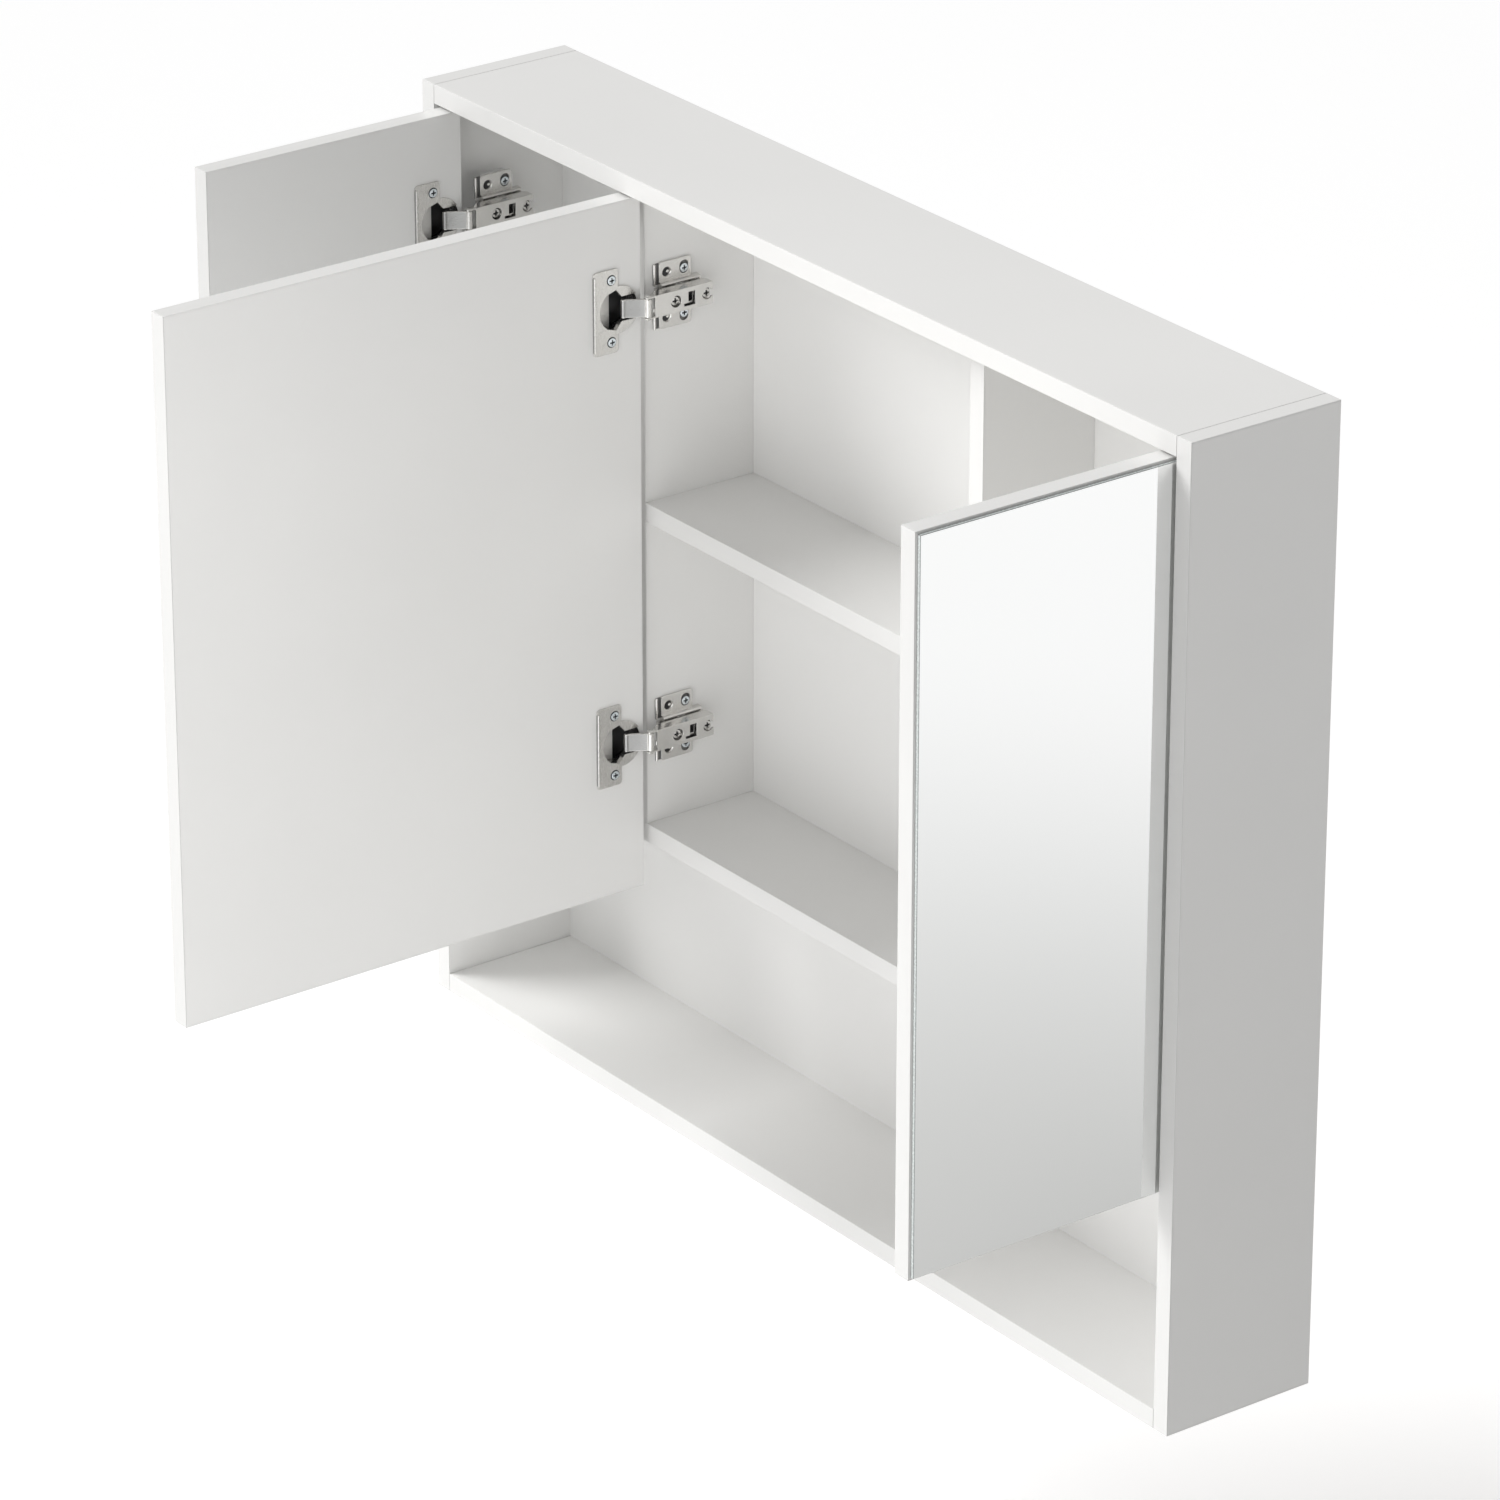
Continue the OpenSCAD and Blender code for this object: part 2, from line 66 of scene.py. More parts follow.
# Sizes in millimetres, up to the studio's
BAND = 0.8                  # edge band
BAND_EASE = 0.22            # its eased edges
BOARD_EASE = 0.35
SHEET_EASE = 0.1            # corners of the back panel and of the door boards
SEAM = 0.45                 # gap drawn at each end of the top and bottom panel
WALL_HOLE_R = 3.0
GLASS_ARRIS = 0.5
SHARP = math.radians(50)    # edges sharper than this stay crisp
GAP = 0.05                  # keeps a visual face just inside the designed one

# Hinge cup, on the door: x to the free edge, y up, from the cup's centre
CUP_IN = 20.5               # centre from the door's edge
CUP_R = 17.5
CUP_DEEP = 12.8
CUP_FLOOR = 0.9
CUP_SCREW = (6.0, 24.0)
FLANGE_T = 1.2
FLANGE_W = 22.5
FLANGE_H = 65.0
LIP_W, LIP_H = 2.0, 3.0     # turned-up lip of the flange
MOUTH_R = 16.2
MOUTH = ((9.5, 13.2), (2.0, 15.5), (-3.0, 9.5))
COLLAR_X = -15.2            # where the collar round the mouth ends

# Link, arm and plate, on the carcass: y to the wall from the cabinet's front, z up from the middle
PIVOT = (16.0, 9.0)         # out of the mounting face, y
PIN_HOLE_R = 1.5
LINK_LEN = 18.0
LINK_ANGLE = math.radians(-123)
LINK_HALF = 7.2
LINK_EYE_R = 2.6
LINK_END_R = 2.0
ARM_HALF = 8.6
ARM_TOP = 18.0              # out of the mounting face
ARM_Y = (14.0, 66.0)
SKIRT_T = 1.2
ARM_HOLE_R = 4.5            # round openings over the two arm screws
ADJUSTER_Y = 33.0
LOCK_Y = 61.0
SLOT_Y = (44.0, 50.0)
WING_Y = (24.0, 58.0)
WING_Z = (8.0, 26.0)
PLATE_SCREW = (51.5, 17.5)  # y, z
PLATE_HOLE_R = 3.9
DIMPLE_Y = 36.0
RAIL_HALF = 7.0
RAIL_TOP = 14.0             # out of the mounting face
HEAD_R = 3.4                # heads of all screws
SCREW_LONG, SCREW_SHORT = 25, 10


# ---- materials ---------------------------------------------------------------

def new_material(name, colour, rough, metal=0.0):
    """A Principled material with its constant values set on the shader."""
    mat = bpy.data.materials.new(name)
    mat.use_nodes = True
    shader = mat.node_tree.nodes["Principled BSDF"]
    shader.inputs["Base Color"].default_value = (*colour, 1)
    shader.inputs["Roughness"].default_value = rough
    shader.inputs["Metallic"].default_value = metal
    return mat, mat.node_tree.nodes, mat.node_tree.links, shader


def coordinates(nodes, links, scale=(1, 1, 1)):
    """The object's own coordinates in metres, stretched."""
    where = nodes.new("ShaderNodeTexCoord")
    mapping = nodes.new("ShaderNodeMapping")
    mapping.inputs["Scale"].default_value = scale
    links.new(where.outputs["Object"], mapping.inputs["Vector"])
    return mapping.outputs["Vector"]


def noise(nodes, links, vector, scale, detail=3.0, rough=0.5):
    tex = nodes.new("ShaderNodeTexNoise")
    tex.inputs["Scale"].default_value = scale
    tex.inputs["Detail"].default_value = detail
    tex.inputs["Roughness"].default_value = rough
    links.new(vector, tex.inputs["Vector"])
    return tex.outputs["Fac"]


def ramp(nodes, links, factor, stops):
    """A colour ramp from a list of (position, colour)."""
    node = nodes.new("ShaderNodeValToRGB")
    points = node.color_ramp.elements
    while len(points) < len(stops):
        points.new(0.5)
    for point, (place, colour) in zip(points, stops):
        point.position = place
        point.color = (*colour, 1)
    links.new(factor, node.inputs["Fac"])
    return node.outputs["Color"]


def spread(nodes, links, factor, low, high):
    """Maps a 0.3 to 0.7 noise onto a range of values."""
    node = nodes.new("ShaderNodeMapRange")
    node.inputs["From Min"].default_value = 0.3
    node.inputs["From Max"].default_value = 0.7
    node.inputs["To Min"].default_value = low
    node.inputs["To Max"].default_value = high
    links.new(factor, node.inputs["Value"])
    return node.outputs["Result"]


def bump(nodes, links, shader, height, distance, strength=1.0):
    node = nodes.new("ShaderNodeBump")
    node.inputs["Distance"].default_value = distance
    node.inputs["Strength"].default_value = strength
    links.new(height, node.inputs["Height"])
    links.new(node.outputs["Normal"], shader.inputs["Normal"])


def shade(colour, k):
    """The colour, lighter when k is above 1 and darker when it is below."""
    return tuple(min(1.0, c * k) for c in colour)


def white_board(name, colour, rough, grain, depth):
    """Faced white board: a hair of colour drift, a fine pressed texture and an uneven sheen."""
    mat, nodes, links, shader = new_material(name, colour, rough)
    vector = coordinates(nodes, links)
    drift = noise(nodes, links, vector, 5.0, 2.0)
    stops = [(0.3, shade(colour, 0.985)), (0.7, shade(colour, 1.01))]
    links.new(ramp(nodes, links, drift, stops), shader.inputs["Base Color"])
    fine = noise(nodes, links, vector, grain, 4.0, 0.6)
    links.new(spread(nodes, links, fine, rough - 0.05, rough + 0.05), shader.inputs["Roughness"])
    bump(nodes, links, shader, fine, depth, 0.6)
    return mat


def chipboard():
    """The bare rear edge of a faced board."""
    mat, nodes, links, shader = new_material("bare_chipboard", (0.5, 0.36, 0.21), 0.85)
    vector = coordinates(nodes, links, (1, 1, 0.55))
    cells = nodes.new("ShaderNodeTexVoronoi")
    cells.inputs["Scale"].default_value = 420
    links.new(vector, cells.inputs["Vector"])
    stops = [(0.05, (0.2, 0.12, 0.06)), (0.3, (0.46, 0.32, 0.18)), (0.8, (0.62, 0.47, 0.29))]
    links.new(ramp(nodes, links, cells.outputs["Distance"], stops), shader.inputs["Base Color"])
    bump(nodes, links, shader, cells.outputs["Distance"], 0.0003, 0.7)
    return mat


def fibreboard():
    """The brown unfaced rear of the back panel."""
    mat, nodes, links, shader = new_material("bare_fibreboard", (0.36, 0.23, 0.13), 0.75)
    vector = coordinates(nodes, links)
    fibres = noise(nodes, links, vector, 260.0, 6.0, 0.7)
    stops = [(0.3, (0.27, 0.165, 0.09)), (0.7, (0.42, 0.28, 0.17))]
    links.new(ramp(nodes, links, fibres, stops), shader.inputs["Base Color"])
    bump(nodes, links, shader, fibres, 0.0001, 0.5)
    return mat


def timber(name, stretch):
    """Pale planed timber with its grain along the axis that stretch shrinks."""
    mat, nodes, links, shader = new_material(name, (0.62, 0.45, 0.27), 0.55)
    vector = coordinates(nodes, links, stretch)
    grain = noise(nodes, links, vector, 90.0, 6.0, 0.65)
    stops = [(0.3, (0.46, 0.31, 0.17)), (0.5, (0.62, 0.46, 0.28)), (0.7, (0.7, 0.55, 0.36))]
    links.new(ramp(nodes, links, grain, stops), shader.inputs["Base Color"])
    links.new(spread(nodes, links, grain, 0.48, 0.62), shader.inputs["Roughness"])
    bump(nodes, links, shader, grain, 0.0002, 0.4)
    return mat


def metal(name, colour, rough, stretch=(1, 1, 1), grain=2500.0, depth=0.000006):
    """Plated steel: fine rolled lines, cloudy sheen and slightly darker patches."""
    mat, nodes, links, shader = new_material(name, colour, rough, 1.0)
    vector = coordinates(nodes, links, stretch)
    lines = noise(nodes, links, vector, grain, 3.0, 0.6)
    clouds = noise(nodes, links, coordinates(nodes, links), 110.0, 3.0)
    stops = [(0.3, shade(colour, 0.96)), (0.7, shade(colour, 1.02))]
    links.new(ramp(nodes, links, clouds, stops), shader.inputs["Base Color"])
    links.new(spread(nodes, links, lines, rough - 0.05, rough + 0.07), shader.inputs["Roughness"])
    bump(nodes, links, shader, lines, depth, 0.25)
    return mat


def silvered():
    """The mirror's face: silver behind clear glass, with a trace of unevenness."""
    mat, nodes, links, shader = new_material("mirror_silver", (0.965, 0.972, 0.968), 0.0, 1.0)
    vector = coordinates(nodes, links)
    wave = noise(nodes, links, vector, 2.5, 1.0)
    stops = [(0.3, (0.955, 0.965, 0.96)), (0.7, (0.975, 0.98, 0.978))]
    links.new(ramp(nodes, links, wave, stops), shader.inputs["Base Color"])
    links.new(spread(nodes, links, wave, 0.0, 0.012), shader.inputs["Roughness"])
    return mat


def glass_edge(name, colour):
    """The ground edge of float glass: grey green, and darker in patches."""
    mat, nodes, links, shader = new_material(name, colour, 0.22)
    vector = coordinates(nodes, links)
    grind = noise(nodes, links, vector, 600.0, 3.0)
    stops = [(0.3, shade(colour, 0.88)), (0.7, shade(colour, 1.1))]
    links.new(ramp(nodes, links, grind, stops), shader.inputs["Base Color"])
    links.new(spread(nodes, links, grind, 0.15, 0.35), shader.inputs["Roughness"])
    shader.inputs["Coat Weight"].default_value = 0.6
    bump(nodes, links, shader, grind, 0.00003, 0.5)
    return mat


def plastic(name, colour, rough, clear=0.0):
    """Finely grained plastic, clear to a degree from 0 to 1."""
    mat, nodes, links, shader = new_material(name, colour, rough)
    vector = coordinates(nodes, links)
    grain = noise(nodes, links, vector, 1400.0, 2.0)
    links.new(spread(nodes, links, grain, rough - 0.05, rough + 0.08), shader.inputs["Roughness"])
    stops = [(0.3, shade(colour, 0.97)), (0.7, colour)]
    links.new(ramp(nodes, links, grain, stops), shader.inputs["Base Color"])
    shader.inputs["Transmission Weight"].default_value = clear
    bump(nodes, links, shader, grain, 0.00003, 0.6)
    return mat


def edge_band(name, k):
    """White plastic band, smoother than the board, and k times as light; a k below 1 is painted shade."""
    return white_board(name, shade(WHITE, k), 0.34, 1500.0, 0.00002)


WHITE = (0.755, 0.751, 0.738)
M = {
    "board": white_board("white_melamine", WHITE, 0.42, 700.0, 0.00004),
    "band": edge_band("white_edge_band", 1.01),
    # Bands that look to the front are toned down: painted shade.
    "front_band": edge_band("front_band_painted_shade", 0.92),
    "door_front_band": edge_band("door_front_band_painted_shade", 0.82),
    "back": white_board("white_lacquered_fibreboard", WHITE, 0.55, 350.0, 0.00005),
    "chip": chipboard(),
    "fibre": fibreboard(),
    "rail": timber("birch_rail", (0.06, 1, 1)),
    "dowel": timber("birch_dowels", (0.25, 1, 1)),
    "silver": silvered(),
    "edge": glass_edge("mirror_ground_edge", (0.66, 0.7, 0.69)),
    "arris": glass_edge("mirror_ground_arris", (0.34, 0.37, 0.365)),
    # Also laid on the link's edges turned up or down: painted highlight.
    "nickel": metal("satin_nickel", (0.74, 0.73, 0.71), 0.24, (1, 1, 0.15)),
    "nickel_long": metal("satin_nickel_arm", (0.75, 0.74, 0.72), 0.22, (1, 0.12, 1)),
    # Also laid on faces of lips and wings that look to the front: painted shade.
    "link": metal("brushed_link_steel_and_front_shade", (0.4, 0.4, 0.395), 0.3, (0.15, 0.15, 1)),
    "matt": metal("matt_nickel", (0.86, 0.85, 0.83), 0.55, (1, 1, 1), 900.0, 0.00001),
    # Under the wings, seen in the gap behind the lip: painted shade.
    "underside_shade": metal("wing_underside_painted_shade", (0.2, 0.2, 0.198), 0.4),
    "zinc": metal("blue_zinc", (0.8, 0.86, 0.9), 0.14),
    # Near black, laid on cup floors, screw recesses, seats and slots: painted shade.
    "shade": metal("painted_shade_steel", (0.06, 0.06, 0.062), 0.36),
    "cast": metal("cast_zinc", (0.55, 0.55, 0.54), 0.42, (1, 1, 1), 500.0, 0.00006),
    "pad": plastic("clear_pad", (0.9, 0.9, 0.89), 0.3, 0.5),
    "packer": plastic("white_packer", (0.82, 0.82, 0.81), 0.5),
}


# ---- meshes ------------------------------------------------------------------

def finish_piece(name, bm, mats, body, replaces=()):
    """Turns a bmesh into a piece: smooth shading with crisp flats, material and body."""
    bmesh.ops.remove_doubles(bm, verts=bm.verts, dist=1e-6)
    bmesh.ops.recalc_face_normals(bm, faces=bm.faces)
    mesh = bpy.data.meshes.new(name)
    bm.to_mesh(mesh)
    bm.free()
    for mat in mats:
        mesh.materials.append(mat)
    for poly in mesh.polygons:
        poly.use_smooth = True
    mesh.set_sharp_from_angle(angle=SHARP)
    obj = bpy.data.objects.new(name, mesh)
    bpy.context.scene.collection.objects.link(obj)
    normals = obj.modifiers.new("crisp_flats", "WEIGHTED_NORMAL")
    normals.keep_sharp = True
    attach(obj, body)
    if replaces:
        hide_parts(*replaces)
    return obj


def take_in(bm, mesh, matrix):
    """Adds a mesh to bm, moved by a matrix."""
    mesh.transform(matrix)
    if matrix.determinant() < 0:
        mesh.flip_normals()
    bm.from_mesh(mesh)
    bpy.data.meshes.remove(mesh)


def add_box(bm, low, high, bevel, matrix=Matrix.Identity(4), segments=2):
    """A box with its edges eased by a radius."""
    part = bmesh.new()
    bmesh.ops.create_cube(part, size=1.0)
    low, high = Vector(low), Vector(high)
    size = high - low
    bmesh.ops.scale(part, vec=size, verts=part.verts)
    bmesh.ops.translate(part, vec=(low + high) / 2, verts=part.verts)
    if bevel > 0:
        bmesh.ops.bevel(part, geom=part.edges[:], offset=bevel, segments=segments,
                        profile=0.5, affect="EDGES", clamp_overlap=True)
    mesh = bpy.data.meshes.new("part")
    part.to_mesh(mesh)
    part.free()
    take_in(bm, mesh, matrix)


def add_lathe(bm, profile, matrix, steps=48):
    """Turns a closed or open profile of (radius, height) about local Z."""
    part = bmesh.new()
    rings = []
    for radius, height in profile:
        if radius < 1e-6:
            rings.append([part.verts.new((0, 0, height))])
            continue
        ring = []
        for i in range(steps):
            angle = 2 * math.pi * (i + 0.5) / steps
            ring.append(part.verts.new((radius * math.cos(angle), radius * math.sin(angle), height)))
        rings.append(ring)
    for a, b in zip(rings, rings[1:]):
        for i in range(steps):
            corners = [a[i % len(a)], a[(i + 1) % len(a)], b[(i + 1) % len(b)], b[i % len(b)]]
            unique = list(dict.fromkeys(corners))
            if len(unique) > 2:
                part.faces.new(unique)
    bmesh.ops.recalc_face_normals(part, faces=part.faces)
    mesh = bpy.data.meshes.new("part")
    part.to_mesh(mesh)
    part.free()
    take_in(bm, mesh, matrix)


def add_plate(bm, outline, holes, low, high, bevel, matrix, mend=None):
    """A flat plate between two heights of local Z, cut to an outline with holes, edges eased.

    mend, if given, moves each vertex before the plate is put in place.
    """
    curve = bpy.data.curves.new("outline", "CURVE")
    curve.dimensions = "2D"
    curve.fill_mode = "BOTH"
    curve.extrude = (high - low) / 2 - bevel
    curve.bevel_depth = bevel
    curve.bevel_resolution = 1
    curve.offset = -bevel
    for loop in [outline, *holes]:
        spline = curve.splines.new("POLY")
        spline.points.add(len(loop) - 1)
        for point, (x, y) in zip(spline.points, loop):
            point.co = (x, y, 0, 1)
        spline.use_cyclic_u = True
    obj = bpy.data.objects.new("outline", curve)
    bpy.context.scene.collection.objects.link(obj)
    graph = bpy.context.evaluated_depsgraph_get()
    mesh = bpy.data.meshes.new_from_object(obj.evaluated_get(graph))
    bpy.data.objects.remove(obj)
    bpy.data.curves.remove(curve)
    mesh.transform(Matrix.Translation((0, 0, (low + high) / 2)))
    if mend:
        for vert in mesh.vertices:
            vert.co = mend(vert.co)
    take_in(bm, mesh, matrix)


def painted(bm, index, add, *args):
    """Runs a mesh builder and gives the faces it adds one of the piece's materials."""
    first = len(bm.faces)
    add(bm, *args)
    bm.faces.ensure_lookup_table()
    for face in bm.faces[first:]:
        face.material_index = index


def arc(centre, radius, start, end, steps=12):
    """Points on an arc; angles in degrees, anticlockwise when end is above start."""
    points = []
    for i in range(steps + 1):
        angle = math.radians(start + (end - start) * i / steps)
        points.append((centre[0] + radius * math.cos(angle), centre[1] + radius * math.sin(angle)))
    return points


def ring(centre, radius, steps=32):
    """A full circle as a hole: clockwise."""
    return arc(centre, radius, 360, 360 / steps, steps - 1)


def disc(centre, radius):
    """A full circle as an outline: anticlockwise."""
    return as_hole(ring(centre, radius))


def rounded(low, high, radius, steps=5):
    """A rectangle with round corners, anticlockwise."""
    (x0, y0), (x1, y1) = low, high
    corners = (((x1 - radius, y1 - radius), 0), ((x0 + radius, y1 - radius), 90),
               ((x0 + radius, y0 + radius), 180), ((x1 - radius, y0 + radius), 270))
    points = []
    for centre, start in corners:
        points += arc(centre, radius, start, start + 90, steps)
    return points


def as_hole(points):
    """The same loop the other way round."""
    return list(reversed(points))


# ---- places ------------------------------------------------------------------

FRONT_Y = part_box("left_side_panel")[0].y


def turned(x, y, z, origin=(0, 0, 0), unit=1.0):
    """A matrix with the given axes and origin; unit is the length of a local step."""
    matrix = Matrix.Identity(4)
    for column, vector in enumerate((x, y, z)):
        for row in range(3):
            matrix[row][column] = vector[row] * unit
    matrix.translation = Vector(origin)
    return matrix


def axes(origin, x, y, z):
    """A matrix from local axes in millimetres to the row frame."""
    return turned(x, y, z, origin, MM)


def inward(door):
    """Which way the open door's inner face looks: 1 is +X."""
    return -1 if door == "right" else 1


def inner_face(door, low, high):
    """X of the open door's inner face, from its box."""
    return low.x if door == "right" else high.x


def hinge_heights(door):
    """Heights of the door's lower and upper hinge."""
    low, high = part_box(f"{door}_hinge_cups")
    half = FLANGE_H / 2 * MM
    return low.z + half, high.z - half


def cup_places(door):
    """Cup centres on the door's inner face: x to the free edge, y up, z out of the face."""
    low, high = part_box(f"{door}_door_panel")
    for height in hinge_heights(door):
        origin = (inner_face(door, low, high), high.y - CUP_IN * MM, height)
        yield axes(origin, (0, -1, 0), (0, 0, 1), (inward(door), 0, 0))


def mount_places(door):
    """Mounting faces: x out of the face, y to the wall from the cabinet's front, z up."""
    low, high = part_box(f"{door}_mounting_plates")
    face = high.x if door == "right" else low.x
    for height in hinge_heights(door):
        yield axes((face, FRONT_Y, height), (inward(door), 0, 0), (0, 1, 0), (0, 0, 1))


def out_of_mount(origin):
    """Local Z out of the mounting face, local X to the wall, local Y up."""
    return turned((0, 1, 0), (0, 0, 1), (1, 0, 0), origin)


# ---- boards ------------------------------------------------------------------

AXIS = {"x": 0, "y": 1, "z": 2}


def build_box(name, low, high, bevel, mats, body, bare=(), replaces=()):
    """An eased board. Its faces named in bare, such as '+y', take the second material."""
    bm = bmesh.new()
    add_box(bm, low, high, bevel)
    for face in bm.faces:
        for side in bare:
            sign = 1 if side[0] == "+" else -1
            if face.normal[AXIS[side[1]]] * sign > 0.9:
                face.material_index = 1
    return finish_piece(name, bm, mats, body, replaces)


def edge_bands(node, body, bands, low, high):
    """Edge bands as pieces of their own, in gluing order; low and high shrink to the bare board.

    Bands that look to the front are darker, and those of the doors darkest: painted shade.
    """
    for i, side in enumerate(bands):
        axis = AXIS[side[1]]
        band_low, band_high = low.copy(), high.copy()
        if side[0] == "-":
            band_high[axis] = low[axis] + BAND * MM
            low[axis] = band_high[axis]
        else:
            band_low[axis] = high[axis] - BAND * MM
            high[axis] = band_low[axis]
        # Front bands take the darker tone: painted shade.
        front = "front_band" if body == "root" else "door_front_band"
        mat = M[front] if side == "-y" else M["band"]
        build_box(f"{node}_band_{i + 1}", band_low, band_high, BAND_EASE * MM, [mat], body)


def board(node, bands=("-y",), bare=(), seam=0.0):
    """A faced board of the carcass with its edge bands, short of the sides by a seam at each end."""
    low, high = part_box(node)
    low.x += seam * MM
    high.x -= seam * MM
    edge_bands(node, "root", bands, low, high)
    build_box(node + "_board", low, high, BOARD_EASE * MM, [M["board"], M["chip"]], "root",
              bare, [node])


def carcass():
    for side in ("left", "right"):
        board(f"{side}_side_panel", bands=("-y", "+z", "-z"), bare=("+y",))
        board(f"{side}_divider")
        board(f"{side}_shelf", bare=("+y",))
    board("top_panel", bare=("+y",), seam=SEAM)
    board("bottom_panel", bare=("+y",), seam=SEAM)
    board("niche_roof")
    board("middle_shelf")


def screw_holes_x():
    """Wall screws sit either side of the row's origin."""
    mount = [m for m in frame["record"]["mounts"] if m["name"] == "wall_screws"][0]
    half = mount["dims"]["spacing_x_mm"] / 2
    return -half, half


def add_wall_sheet(bm, low, high, corner, bevel):
    """An upright sheet along the wall, with the two wall screw holes through it."""
    to_row = axes((0, low.y, 0), (1, 0, 0), (0, 0, 1), (0, 1, 0))
    outline = rounded((low.x / MM, low.z / MM), (high.x / MM, high.z / MM), corner, 1)
    holes = [ring((x, 0), WALL_HOLE_R) for x in screw_holes_x()]
    add_plate(bm, outline, holes, 0, (high.y - low.y) / MM, bevel, to_row)


def back_panel():
    """White towards the bays and bare behind; its edges in the grooves are left out."""
    low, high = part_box("back_panel")
    inner_low, inner_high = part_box("top_panel")
    low.x, low.z = inner_low.x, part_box("bottom_panel")[1].z
    high.x, high.z = inner_high.x, inner_low.z
    bm = bmesh.new()
    add_wall_sheet(bm, low, high, SHEET_EASE, SHEET_EASE)
    for face in bm.faces:
        face.material_index = 1 if face.normal.y > 0.9 else 0
    finish_piece("back_panel_sheet", bm, [M["back"], M["fibre"]], "root", ["back_panel"])


def hanging_rail():
    low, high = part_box("hanging_rail")
    bm = bmesh.new()
    add_wall_sheet(bm, low, high, 0.5, 0.4)
    finish_piece("hanging_rail_batten", bm, [M["rail"]], "root", ["hanging_rail"])


# ---- doors -------------------------------------------------------------------

def mirror_pane(door):
    """Float glass, silvered on its outer face, with ground edges and a ground arris."""
    node = f"{door}_mirror"
    low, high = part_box(node)
    bm = bmesh.new()
    add_box(bm, low, high, GLASS_ARRIS * MM, segments=1)
    for face in bm.faces:
        if face.normal.x * -inward(door) > 0.95:
            face.material_index = 0
        else:
            flat = max(abs(n) for n in face.normal) > 0.95
            face.material_index = 1 if flat else 2
    mats = [M["silver"], M["edge"], M["arris"]]
    finish_piece(f"{node}_glass", bm, mats, f"{door}_door", [node])


def door_board(name):
    """The door's faced board with its edge bands, bored for the two cups."""
    node = f"{name}_door_panel"
    low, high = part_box(node)
    size = (high - low) / MM
    corner = (inner_face(name, low, high), high.y, low.z)
    to_row = axes(corner, (0, -1, 0), (0, 0, 1), (inward(name), 0, 0))
    outline = rounded((BAND, BAND), (size.y - BAND, size.z - BAND), SHEET_EASE, 1)
    bores = [ring((CUP_IN, (z - low.z) / MM), CUP_R + GAP, 64) for z in hinge_heights(name)]
    skin = CUP_DEEP + 0.2
    bm = bmesh.new()
    add_plate(bm, outline, bores, -skin, 0, 0.2, to_row)
    add_plate(bm, outline, [], -size.x, -skin, 0.2, to_row)
    finish_piece(f"{node}_board", bm, [M["board"]], f"{name}_door", [node])
    edge_bands(node, f"{name}_door", ("-y", "+y", "+z", "-z"), low, high)


def door(name):
    door_board(name)
    mirror_pane(name)


# ---- screws ------------------------------------------------------------------

def cross(size, width):
    """A screw's cross recess as a hole, its inner corners cut back."""
    cut = width * 1.7
    quarter = [(size, width), (cut, width), (width, cut), (width, size)]
    points = []
    for c, s in ((1, 0), (0, 1), (-1, 0), (0, -1)):
        points += [(x * c - y * s, x * s + y * c) for x, y in quarter]
    return as_hole(points)


def add_screw(bm, place, thick, dome, shank_r, shank_len, recess=0.62, blade=0.15):
    """A cross-head screw. Local Z leaves the head, and the head sits on z = 0.

    recess and blade are the cross's length and half width, as shares of the head's radius.
    """
    def crowned(co):
        if co.z > thick * 0.5:
            co.z += dome * (1 - (co.x ** 2 + co.y ** 2) / HEAD_R ** 2)
        return co
    add_plate(bm, disc((0, 0), HEAD_R), [cross(HEAD_R * recess, HEAD_R * blade)],
              thick * 0.2, thick, 0.15, place, crowned)
    # A near black disc under the cross: painted shade in the recess.
    painted(bm, 1, add_lathe, [(0, thick * 0.25), (HEAD_R * 0.9, thick * 0.25)], place, 24)
    add_lathe(bm, [(HEAD_R * 0.9, thick * 0.22), (HEAD_R * 0.97, thick * 0.2), (HEAD_R * 0.8, 0),
                   (shank_r, 0), (shank_r, -shank_len * 0.85), (0, -shank_len)], place, 32)


# ---- hinges ------------------------------------------------------------------

def mouth_points():
    """The cup's angular mouth, from above the slot for the link round to below it."""
    far = math.degrees(math.atan2(MOUTH[0][1], MOUTH[0][0]))
    lower = [(x, -y) for x, y in MOUTH]
    return [*reversed(MOUTH), *arc((0, 0), MOUTH_R, far - 2, 2 - far, 16), *lower]


def flange_outline():
    """The flange round the cup's rim, cut away at the mouth and the slot."""
    rim = CUP_R + 0.9
    half = FLANGE_H / 2 - GAP
    right = FLANGE_W - GAP
    slot_angle = math.degrees(math.asin(MOUTH[-1][1] / rim))
    near_r, far_r = 2.5, 3
    return [*arc((0, 0), rim, 180 + slot_angle, 270, 14),
            *arc((near_r, -half + near_r), near_r, 180, 270, 5),
            *arc((right - far_r, -half + far_r), far_r, 270, 360, 6),
            *arc((right - far_r, half - far_r), far_r, 0, 90, 6),
            *arc((near_r, half - near_r), near_r, 90, 180, 5),
            *arc((0, 0), rim, 90, 180 - slot_angle, 14), *mouth_points()]


def collar_outline():
    """A thin collar that lines the mouth."""
    slot_y = MOUTH[-1][1]
    collar = [(COLLAR_X, slot_y), *mouth_points(), (COLLAR_X, -slot_y)]
    return collar + [(x * 1.04, y * 1.04 - (0.3 if y < 0 else -0.3)) for x, y in reversed(collar)]


